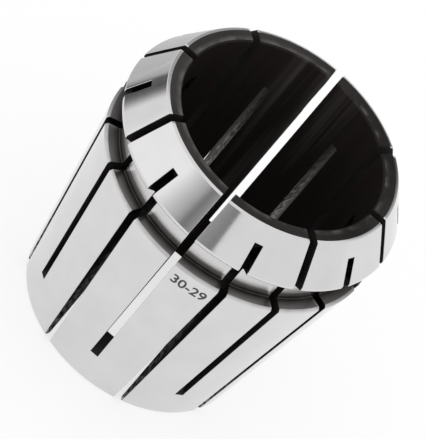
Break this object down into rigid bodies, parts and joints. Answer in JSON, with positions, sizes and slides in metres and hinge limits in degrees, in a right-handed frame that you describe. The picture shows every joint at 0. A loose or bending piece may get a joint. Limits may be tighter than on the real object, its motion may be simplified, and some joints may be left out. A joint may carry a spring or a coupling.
{
  "type": "er collet",
  "caption": "Slotted steel collet with a plain bore, a long tapered body, an extraction groove and a nose cone; squeezes onto a cutter shank in a chuck.",
  "frame": {"origin": "centre of the small rear face, which the collet stands on", "axes": "+Z along the collet's axis towards the nose; one of the slots that start at the nose faces -Y"},
  "size_m": [0.041, 0.041, 0.0406],
  "materials": {
    "ground_steel": "hardened spring steel, ground bright outside, dark and matte in the bore and on the nose face"
  },
  "bodies": {
    "root": {"collet_body": "ground_steel"}
  },
  "joints": []
}
